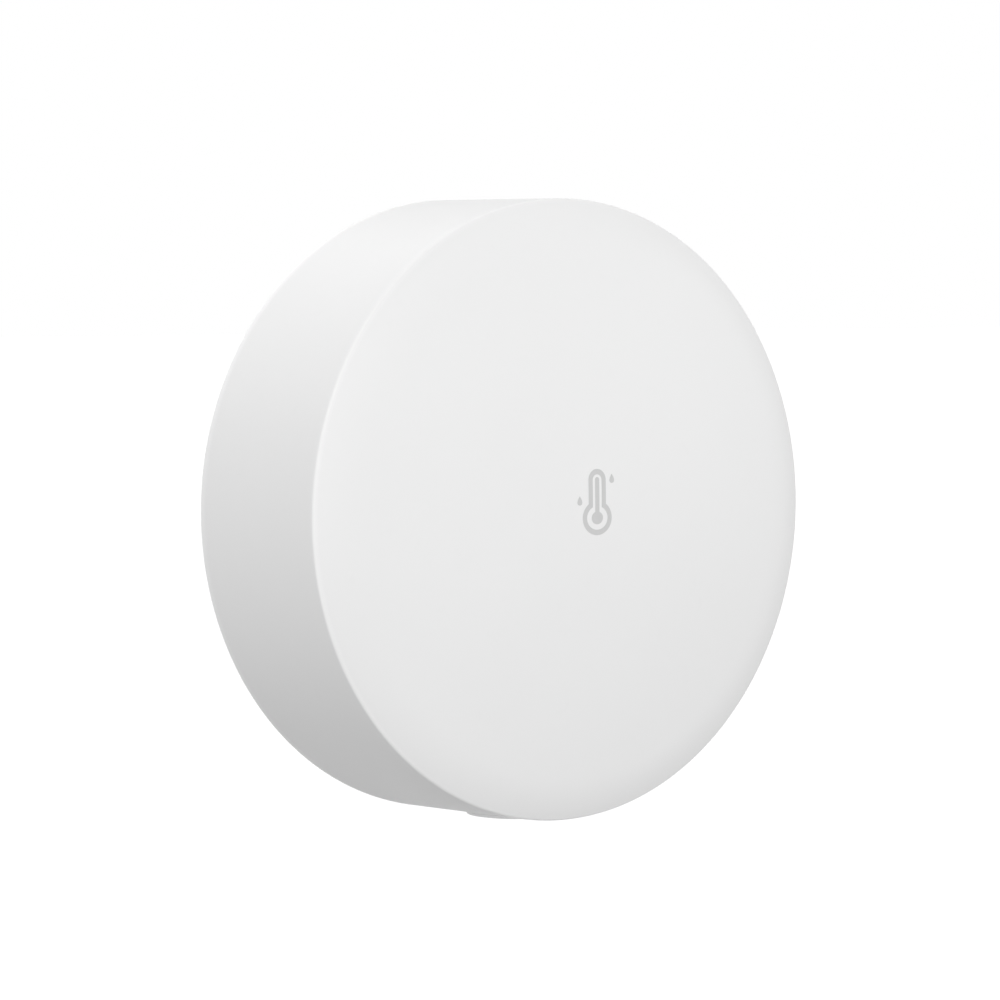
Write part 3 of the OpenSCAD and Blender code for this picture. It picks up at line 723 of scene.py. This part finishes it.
class SENSOR_OT_front_shell(bpy.types.Operator):
    """Builds the domed shell with its button hole, bayonet ledges and screw posts"""

    bl_idname = "sensor.front_shell"
    bl_label = "Front shell"

    def execute(self, context):
        size, button = context.scene.sensor_shell, context.scene.sensor_button
        bend = (size.shoulder_slope + pi / 2) / 2
        crest = shell_curves(size)[0] + size.rim_radius * np.array([sin(bend), cos(bend)])

        # The mask makes the rim's crest and the rear edge glossier and paints a lighter highlight tint on
        # them
        def edge(co):
            """1 on the crest of the rounded rim and on the rear edge, fading beside them."""
            r, t = np.hypot(co[:, 0], co[:, 2]), -co[:, 1]
            to_rim = np.hypot(r - crest[0], t - crest[1])
            to_back = np.hypot(np.clip(BODY_R - size.edge_radius - r, 0, 1),
                               np.clip(t - BACK - size.edge_radius, 0, 1))
            return 1 - np.minimum(to_rim, to_back) / size.edge_fade

        white = context.scene.sensor_finish.shell
        finish = plastic("white_shell", white, 0.5, 4200, 0.1, 0.012, 0.02, edges=True)
        surfaces = shell_skin(size, button.radius + button.gap) + shell_fittings(size)
        make_piece("shell", surfaces, finish, "puck", ["front_shell"], edge)
        return {"FINISHED"}


def on_face(size, outline, forward):
    """Points (x, z) of the print laid on the dome, lifted by the given distance along its axis."""
    x, z = outline[..., 0], outline[..., 1]
    return joined(x, -(face_forward(size, x, z) + forward), z)


def bulb_outline(half_tube, bulb_r, bulb_h, bulb_z, top_z, turn_z, count=24):
    """A thermometer's outline as (x, z): round the oval bulb from its bottom to the tube's side, up the
    tube, and half a circle over its top, then the same mirrored."""
    meet = np.arccos(half_tube / bulb_r)
    a = np.linspace(-pi / 2, meet, 2 * count)
    bulb = joined(bulb_r * np.cos(a), bulb_z + bulb_h * np.sin(a))
    side = line(bulb[-1], (half_tube, turn_z), count)[1:]
    b = np.linspace(0, pi / 2, count)[1:]
    top = joined(half_tube * np.cos(b), turn_z + (top_z - turn_z) * np.sin(b))
    right = np.concatenate([bulb, side, top])
    left = right[-2:0:-1] * (-1, 1)
    return np.concatenate([right, left])


def inked(size, shell, start, stop, ring=False):
    """A closed solid of ink: from one line to the other on top, down there and back underneath. A ring
    has a wall on the first line too."""
    rows = [on_face(shell, start, size.ink), on_face(shell, stop, size.ink),
            on_face(shell, stop, -size.root), on_face(shell, start, -size.root)]
    return cells(np.stack(rows), close_rows=ring)


class SENSOR_OT_pictogram(bpy.types.Operator):
    """Prints the thermometer and the two drops on the face"""

    bl_idname = "sensor.pictogram"
    bl_label = "Printed pictogram"

    def execute(self, context):
        size, shell = context.scene.sensor_pictogram, context.scene.sensor_shell
        top = size.rise + size.height / 2
        bulb_r, bulb_h, half = size.bulb_width / 2, size.bulb_height / 2, size.tube_width / 2
        bulb_z = size.rise - size.height / 2 + bulb_h
        outer = bulb_outline(half, bulb_r, bulb_h, bulb_z, top, top - half)
        inner = bulb_outline(half - size.stroke, bulb_r - size.stroke, bulb_h - size.stroke, bulb_z,
                             top - size.stroke, top - half)
        stem_half, stem_top = size.stem_width / 2, top - size.stem_top
        column = bulb_outline(stem_half, size.core_width / 2, size.core_height / 2, bulb_z, stem_top,
                              stem_top - stem_half)
        spine = joined(0.0, np.clip(column[:, 1], bulb_z, stem_top - stem_half))
        solids = [inked(size, shell, outer, inner, True), inked(size, shell, spine, column)]
        finish = printed_ink("grey_ink", context.scene.sensor_finish.ink)
        make_piece("pictogram_thermometer", solids, finish, "puck")

        u = full_turn(48)
        lobe = np.sin(u) * np.abs(np.sin(u / 2)) ** DROP_TAPER
        drop = joined(lobe / lobe.max() * size.drop_width, np.cos(u) * size.drop_height) / 2
        drops = []
        for x, z in DROPS:
            middle = np.array([x * BODY_R, size.rise + z * BODY_R])
            belly = np.broadcast_to(middle - (0, 0.2 * size.drop_height), drop.shape)
            drops.append(inked(size, shell, belly, drop + middle))
        make_piece("pictogram_drops", drops, finish, "puck")
        return {"FINISHED"}


class SENSOR_OT_pairing_button(bpy.types.Operator):
    """Builds the button's domed cap, flange and stem"""

    bl_idname = "sensor.pairing_button"
    bl_label = "Pairing button"

    def execute(self, context):
        size = context.scene.sensor_button
        e = size.edge_radius
        sphere = np.array([0, BUTTON_END - size.dome_radius])
        slope = asin((size.radius - e) / (size.dome_radius - e))
        turn = sphere + (size.dome_radius - e) * np.array([sin(slope), cos(slope)])
        flange_in = size.flange_out - size.flange_depth
        lower = eased([
            (size.radius, turn[1]), (size.radius, size.flange_out), (size.flange_radius, size.flange_out),
            (size.flange_radius, flange_in), (size.stem_radius, flange_in),
            (size.stem_radius, size.stem_in), (0, size.stem_in),
        ], (0, 0.1, 0.15, 0.15, 0.1, 0.15, 0), closed=False)
        profile = np.concatenate([arc(sphere, size.dome_radius, 0, slope, 26),
                                  arc(turn, e, slope, pi / 2, 8)[1:-1], lower])
        place = np.array([0, -BUTTON_FORWARD, 0])
        cap = cells(turned(profile, full_turn(128), place, AXIS_X, AXIS_Y, -AXIS_Z))

        # The mask makes the cap's rounded edge glossier and paints a lighter highlight tint on it
        def edge(co):
            """1 on the cap's rounded edge."""
            r = np.hypot(co[:, 0], co[:, 1] + BUTTON_FORWARD)
            return 1 - np.hypot(r - turn[0], co[:, 2] + turn[1]) / (2 * e)

        white = context.scene.sensor_finish.button
        finish = plastic("white_button", white, 0.42, 5200, 0.06, 0.012, 0.02, edges=True)
        make_piece("pairing_button", [cap], finish, "pairing_button", ["button_cap"],
                   edge)
        return {"FINISHED"}


def raised_arrow(size, start, stop):
    """A raised bent arrow on the base's rear: a bar along an arc whose half width w is even on the shaft,
    trebles at the head and runs to a point. Its profile is a low roof."""
    shaft, head = np.linspace(0, ARROW_SHAFT, 14), np.linspace(ARROW_SHAFT, 1, 8)
    w = np.concatenate([np.full(len(shaft), 0.5), np.linspace(1.5, 0, len(head))]) * size.arrow_width
    a = start + (stop - start) * np.concatenate([shaft, head])
    across = np.array([-1, -1, -0.8, 0.8, 1, 1])[:, None]
    top, side, root = size.mark_height, 0.6 * size.mark_height, -SINK / 2
    height = np.array([root, side, top, top, side, root])[:, None]
    r = size.slot_circle + across * w
    return capped(joined(r * np.cos(a), height - BACK, r * np.sin(a)))


def stadium(bearing, half_straight, radius):
    """Points of a slot's outline, (along, across), at the given bearings, which are taken in the slot's
    own box made square."""
    a = np.linspace(-pi, pi, 721)
    along = radius * np.cos(a) + half_straight * np.sign(np.cos(a))
    across = radius * np.sin(a)
    own = np.arctan2(across / radius, along / (radius + half_straight))
    return joined(np.interp(bearing, own, along), np.interp(bearing, own, across))


def slot_wall(points, rear_block, front_block, turn, size):
    """An air slot's rounded wall through the plate: from a window's rim on the rear face to the slot's
    outline, round its edge, through the plate, and out to the same window on the front face."""
    e = size.edge
    radius, half = size.slot_width / 2, (size.slot_length - size.slot_width) / 2
    ahead = np.array([cos(turn), sin(turn)])
    left = np.array([-sin(turn), cos(turn)])
    rim = rim_of(points, rear_block)
    front_rim = far_rim_of(points, front_block)
    flat = rim[:, (0, 2)]
    along, across = flat @ ahead - size.slot_circle, flat @ left
    bearing = np.arctan2(across / np.abs(across).max(), along / np.abs(along).max())
    s = np.linspace(0, pi / 2, EDGE_ROWS)
    grow, dip = e * (1 - np.sin(s)), e * (1 - np.cos(s))
    deep = np.concatenate([BACK + dip, BACK + size.thickness - dip[::-1]])
    rings = np.stack([stadium(bearing, half, radius + g) for g in (*grow, *grow[::-1])])
    place = (rings[..., :1] + size.slot_circle) * ahead + rings[..., 1:] * left
    wall = joined(place[..., 0], -deep[:, None], place[..., 1])
    v = np.linspace(0, 1, 5)[:-1, None, None]
    rear = rim * (1 - v) + wall[0] * v
    front = front_rim * (1 - v[::-1]) + wall[-1] * v[::-1]
    return cells(np.concatenate([rear, wall, front]))


class SENSOR_OT_wall_base(bpy.types.Operator):
    """Builds the base that stays on the wall, with its air slots, lugs and moulded marks"""

    bl_idname = "sensor.wall_base"
    bl_label = "Wall base"

    def execute(self, context):
        size, shell = context.scene.sensor_base, context.scene.sensor_shell
        finish = plastic("white_base", context.scene.sensor_finish.base, 0.6, 3000, 0.25, 0.02)
        e, front = size.edge, BACK + size.thickness
        near, far = size.slot_circle - size.slot_reach, size.slot_circle + size.slot_reach
        rear = np.concatenate([line((0, BACK), (near, BACK), PLATE_ROWS)[:-1],
                               line((near, BACK), (far, BACK), SLOT_ROWS + 1)])
        rounds = np.concatenate([arc((size.radius - e, BACK + e), e, pi, pi / 2, EDGE_ROWS),
                                 arc((size.radius - e, front - e), e, pi / 2, 0, EDGE_ROWS)])
        over = rear[::-1] + (0, size.thickness)
        points = turned(np.concatenate([rear, rounds, over]), full_turn(BASE_COLUMNS))
        first, last, end = PLATE_ROWS - 1, PLATE_ROWS - 1 + SLOT_ROWS, len(points) - 1
        slots, blocks = [], []
        for third in range(3):
            middle = round((shell.lug_turn + (third + 0.5) * THIRD) / tau * BASE_COLUMNS)
            for i in range(-3, 4):
                at = middle + i * SLOT_COLUMNS
                sides = (at - SLOT_COLUMNS // 2, at + SLOT_COLUMNS // 2)
                rear_block, front_block = (first, last, *sides), (end - last, end - first, *sides)
                blocks += [rear_block, front_block]
                slots.append(slot_wall(points, rear_block, front_block, at / BASE_COLUMNS * tau, size))

        lug = eased([(size.tab_inner, front - SINK), (size.tab_outer, front - SINK),
                     (size.tab_outer, size.lug_back), (size.radius, size.lug_back),
                     (size.radius, size.lug_front), (size.tab_inner, size.lug_front)],
                    (0, 0, 0.1, 0.1, 0.2, 0.2))
        pin = eased(corners(0, size.pin_radius, -SINK / 2, size.mark_height / 2), (0, 0, 0.05, 0),
                    closed=False)
        lug_span = np.linspace(-size.lug_span / 2, size.lug_span / 2, 13)
        lugs, marks = [], []
        for third in range(3):
            turn = shell.lug_turn + third * THIRD
            lugs.append(capped(turned(lug, turn + lug_span)))
            marks.append(raised_arrow(size, turn - size.arrow_reach, turn + size.arrow_reach))
            for side in (-1, 1):
                place = size.slot_circle * spoke(turn + side * size.pin_turn) - BACK * AXIS_Y
                marks.append(cells(turned(pin, full_turn(32), place, ahead=AXIS_Y)))
        make_piece("wall_base", [cells(points, holes=blocks), *slots, *lugs], finish, "wall_base",
                   ["mounting_base"])
        make_piece("base_marks", marks, finish, "wall_base")
        return {"FINISHED"}


class SENSOR_OT_adhesive_pad(bpy.types.Operator):
    """Builds the foam pad with its bulging, die-cut edge"""

    bl_idname = "sensor.adhesive_pad"
    bl_label = "Adhesive pad"

    def execute(self, context):
        size = context.scene.sensor_base
        s = np.linspace(0, 1, 13)
        bulge = np.sqrt(1 - (2 * s - 1) ** 2)
        side = joined(PAD_R + size.foam_bulge * (bulge - 1), BACK * (1 - s))
        rear, front = line((0, BACK), side[0], 12)[:-1], line(side[-1], (0, 0), 12)[1:]
        profile = np.concatenate([rear, side, front])
        a = full_turn(220)
        points = turned(profile, a)
        # Three waves that never line up, felt only near the edge
        ripple = 0.4 * np.sin(23 * a) + 0.35 * np.sin(41 * a + 1.3) + 0.25 * np.sin(67 * a + 2.1)
        share = (profile[:, 0] / PAD_R)[:, None] ** 8
        points[..., (0, 2)] *= (1 - share * (1 + ripple) * size.foam_ripple / PAD_R)[..., None]
        finish = foam("foam_pad", context.scene.sensor_finish.foam)
        pad = make_piece("foam_pad", [cells(points)], finish, "wall_base", ["adhesive_pad"])
        return {"FINISHED"}


class SENSOR_OT_inner_frame(bpy.types.Operator):
    """Finishes the inner frame and its screws"""

    bl_idname = "sensor.inner_frame"
    bl_label = "Inner frame"

    def execute(self, context):
        finish_nodes(plastic("frame_plastic", (0.72, 0.72, 0.7), 0.55, 2600, 0.25, 0.05), 0,
                     "inner_frame")
        finish_nodes(metal("screw_steel", (0.6, 0.6, 0.6), 0.35, 3400, 0.3), 0, "frame_screws")
        return {"FINISHED"}


class SENSOR_OT_coin_cell(bpy.types.Operator):
    """Finishes the coin cell and its contact springs"""

    bl_idname = "sensor.coin_cell"
    bl_label = "Coin cell"

    def execute(self, context):
        finish_nodes(metal("cell_steel", (0.72, 0.72, 0.71), 0.25, 2200, 0.04), 0,
                     "cell_can", "cell_cap")
        finish_nodes(plastic("cell_seal", (0.12, 0.12, 0.12), 0.55, 2400, 0.2, 0.1), 0, "cell_gasket")
        finish_nodes(mineral("cell_pellet", (0.08, 0.08, 0.08), 0.8, 5200, 0.4), 0, "cell_electrodes")
        finish_nodes(metal("gilt_spring", (0.83, 0.66, 0.3), 0.22, 3000, 0.08), 0,
                     "positive_contact", "negative_contact")
        return {"FINISHED"}


class SENSOR_OT_circuit(bpy.types.Operator):
    """Finishes the circuit board and what is soldered to it"""

    bl_idname = "sensor.circuit"
    bl_label = "Circuit board"

    def execute(self, context):
        finish_nodes(circuit_board("board_green", (0.03, 0.2, 0.09)), 0, "main_board")
        finish_nodes(plastic("chip_black", (0.03, 0.03, 0.035), 0.6, 5200, 0.3, 0.15), 0.05,
                     "radio_chip", "memory_chip", "sensor_chip", "switch_body")
        finish_nodes(metal("shield_tin", (0.7, 0.7, 0.68), 0.32, 2600, 0.04), 0.06,
                     "radio_shield", "radio_crystal", "switch_cover")
        finish_nodes(mineral("antenna_ceramic", (0.75, 0.7, 0.55), 0.45, 4200, 0.08), 0.08,
                     "chip_antenna")
        finish_nodes(plastic("led_resin", (0.85, 0.82, 0.55), 0.2, 4200, 0.05, 0.04), 0.04, "status_led")
        finish_nodes(mineral("coil_ferrite", (0.2, 0.2, 0.21), 0.65, 5200, 0.25), 0.08, "power_inductor")
        finish_nodes(plastic("capacitor_resin", (0.78, 0.5, 0.12), 0.35, 4200, 0.1, 0.06), 0.1,
                     "tank_capacitor")
        finish_nodes(ended_chip("capacitor_ceramic", (0.55, 0.42, 0.28), 2.5 * MM, 0, 0.28 * MM), 0.04,
                     "ceramic_capacitors")
        finish_nodes(ended_chip("resistor_glaze", (0.06, 0.06, 0.07), 2 * MM, 7.5 * MM, 0.3 * MM), 0.03,
                     "chip_resistors")
        finish_nodes(plastic("plunger_plastic", (0.8, 0.8, 0.78), 0.4, 3000, 0.1, 0.03), 0.08,
                     "switch_plunger")
        return {"FINISHED"}


def backdrop_mask(tree):
    """1 for rays that should see a white background: from the camera, a reflection or through glass."""
    path = tree.nodes.new("ShaderNodeLightPath").outputs
    seen = maths(tree, "MAXIMUM", path["Is Camera Ray"], path["Is Glossy Ray"])
    return maths(tree, "MAXIMUM", seen, path["Is Transmission Ray"])


def soft_light(name, azimuth, elevation, energy, width):
    """A broad distant light from a direction in degrees: azimuth 0 is in front, 90 on the right."""
    azimuth, elevation = radians(azimuth), radians(elevation)
    data = bpy.data.lights.new(name, "SUN")
    data.angle = width
    data.energy = energy
    away = Vector((sin(azimuth) * cos(elevation), -cos(azimuth) * cos(elevation), sin(elevation)))
    put(name, data).rotation_euler = (-away).to_track_quat("-Z", "Y").to_euler()


class SENSOR_OT_stage(bpy.types.Operator):
    """Sets the floor, the light and the camera"""

    bl_idname = "sensor.stage"
    bl_label = "Stage"

    def execute(self, context):
        scene, stage = context.scene, context.scene.sensor_stage
        scene.view_settings.view_transform = "Standard"

        far, level = FLOOR_REACH, CAD_BOX[0].z - stage.drop
        square = [(x, y, level) for x, y in corners(-far, far, -far, far)]
        mesh = bpy.data.meshes.new("floor")
        mesh.from_pydata(square, [], [(0, 1, 2, 3)])
        floor = put("floor", mesh)
        # Light from the horizon is not cut off
        floor.visible_shadow = False
        made, tree = new_material("pale_floor")
        tree.nodes.clear()
        seen = backdrop_mask(tree)
        tone = blended(tree, seen, shade(WHITE, stage.floor_bounce), shade(WHITE, stage.floor_tone))
        matt = add_node(tree, "ShaderNodeBsdfDiffuse", {"Color": tone})
        lifted = maths(tree, "MULTIPLY", seen, stage.floor_glow)
        glow = add_node(tree, "ShaderNodeEmission", {"Color": shade(WHITE), "Strength": lifted})
        both = add_node(tree, "ShaderNodeAddShader", {0: matt.outputs[0], 1: glow.outputs[0]})
        below = tree.nodes.new("ShaderNodeNewGeometry").outputs["Backfacing"]
        clear = tree.nodes.new("ShaderNodeBsdfTransparent")
        sides = {0: below, 1: both.outputs[0], 2: clear.outputs[0]}
        one_sided = add_node(tree, "ShaderNodeMixShader", sides)
        add_node(tree, "ShaderNodeOutputMaterial", {"Surface": one_sided.outputs[0]})
        mesh.materials.append(made)

        world = bpy.data.worlds.new("studio")
        scene.world = world
        world.use_nodes = True
        tree = world.node_tree
        light = tree.nodes["Background"]
        tree.links.new(ranged(tree, backdrop_mask(tree), stage.sky, 1.0), light.inputs["Strength"])
        light.inputs["Color"].default_value = shade(WHITE)
        for name, (azimuth, elevation, share) in LIGHTS.items():
            soft_light(name, azimuth, elevation, getattr(stage, name), share * stage.softness)

        data = bpy.data.cameras.new("camera")
        data.sensor_width = 36
        data.lens = stage.lens
        data.clip_start, data.clip_end = 0.01, 20
        camera = scene.camera = put("camera", data)
        rim_forward = BACK + scene.sensor_shell.wall_depth
        camera.location = Vector(CAMERA_PLACE) * BODY_R + Vector((0, -rim_forward, 0))
        camera.rotation_euler = [radians(turn) for turn in CAMERA_TURN]
        return {"FINISHED"}


SIZES = {
    "sensor_shell": SensorShell,
    "sensor_button": SensorButton,
    "sensor_pictogram": SensorPictogram,
    "sensor_base": SensorBase,
    "sensor_finish": SensorFinish,
    "sensor_stage": SensorStage,
}
STEPS = (
    SENSOR_OT_front_shell,
    SENSOR_OT_pictogram,
    SENSOR_OT_pairing_button,
    SENSOR_OT_wall_base,
    SENSOR_OT_adhesive_pad,
    SENSOR_OT_inner_frame,
    SENSOR_OT_coin_cell,
    SENSOR_OT_circuit,
    SENSOR_OT_stage,
)


class SENSOR_PT_panel(bpy.types.Panel):
    """Lists the steps and the sizes of the sensor"""

    bl_idname = "SENSOR_PT_panel"
    bl_label = "Wall sensor"
    bl_space_type = "VIEW_3D"
    bl_region_type = "UI"
    bl_category = "Sensor"

    def draw(self, context):
        for step in STEPS:
            self.layout.operator(step.bl_idname)
        for name, kind in SIZES.items():
            box = self.layout.box()
            for key in kind.__annotations__:
                box.prop(getattr(context.scene, name), key)


def register():
    """Registers the sizes, the steps and the panel."""
    for name, kind in SIZES.items():
        bpy.utils.register_class(kind)
        setattr(bpy.types.Scene, name, PointerProperty(type=kind))
    for step in STEPS:
        bpy.utils.register_class(step)
    bpy.utils.register_class(SENSOR_PT_panel)


def unregister():
    """Takes back what register did."""
    bpy.utils.unregister_class(SENSOR_PT_panel)
    for step in reversed(STEPS):
        bpy.utils.unregister_class(step)
    for name, kind in reversed(SIZES.items()):
        delattr(bpy.types.Scene, name)
        bpy.utils.unregister_class(kind)


def main():
    """Builds everything in order."""
    register()
    bpy.ops.sensor.front_shell()
    bpy.ops.sensor.pictogram()
    bpy.ops.sensor.pairing_button()
    bpy.ops.sensor.wall_base()
    bpy.ops.sensor.adhesive_pad()
    bpy.ops.sensor.inner_frame()
    bpy.ops.sensor.coin_cell()
    bpy.ops.sensor.circuit()
    bpy.ops.sensor.stage()


if __name__ == "__main__":
    main()
